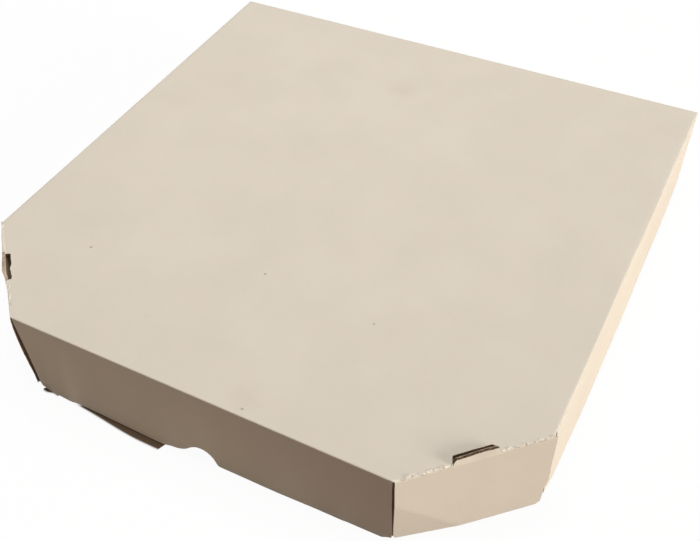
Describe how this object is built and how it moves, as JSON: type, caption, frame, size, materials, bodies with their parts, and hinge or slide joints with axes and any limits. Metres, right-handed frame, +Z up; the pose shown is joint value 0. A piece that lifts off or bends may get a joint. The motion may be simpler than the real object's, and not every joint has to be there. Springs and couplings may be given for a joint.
{
  "type": "pizza box",
  "caption": "Low square pizza box of thin board with a hinged lid, cut front corners with vent slots, hanging lid flaps and a thumb notch.",
  "frame": {"origin": "middle of the closed box's footprint, on the surface it stands on", "axes": "+Z up, -Y towards the front with the thumb notch, X across the box, which is the same on both sides"},
  "size_m": [0.3072, 0.305, 0.0538],
  "materials": {
    "board": "matt"
  },
  "bodies": {
    "tray": {"tray": "board"},
    "lid": {"lid": "board"},
    "front_flap": {"front_flap": "board"},
    "bevel_flap_left": {"bevel_flap_left": "board"},
    "bevel_flap_right": {"bevel_flap_right": "board"},
    "side_flap_left": {"side_flap_left": "board"},
    "side_flap_right": {"side_flap_right": "board"}
  },
  "joints": [
    {"name": "lid_hinge", "type": "hinge", "parent": "tray", "child": "lid", "pos_m": [0, 0.15221, 0.04971], "axis": [-1, 0, 0], "range_deg": [0, 180]},
    {"name": "front_flap_fold", "type": "hinge", "parent": "lid", "child": "front_flap", "pos_m": [0, -0.15221, 0.04971], "axis": [-1, 0, 0], "range_deg": [0, 90]},
    {"name": "bevel_flap_left_fold", "type": "hinge", "parent": "lid", "child": "bevel_flap_left", "pos_m": [-0.12709, -0.12709, 0.04971], "axis": [-0.7071, 0.7071, 0], "range_deg": [0, 90]},
    {"name": "bevel_flap_right_fold", "type": "hinge", "parent": "lid", "child": "bevel_flap_right", "pos_m": [0.12709, -0.12709, 0.04971], "axis": [-0.7071, -0.7071, 0], "range_deg": [0, 90]},
    {"name": "side_flap_left_fold", "type": "hinge", "parent": "lid", "child": "side_flap_left", "pos_m": [-0.15221, 0.0248, 0.04971], "axis": [0, 1, 0], "range_deg": [0, 90]},
    {"name": "side_flap_right_fold", "type": "hinge", "parent": "lid", "child": "side_flap_right", "pos_m": [0.15221, 0.0248, 0.04971], "axis": [0, -1, 0], "range_deg": [0, 90]}
  ]
}
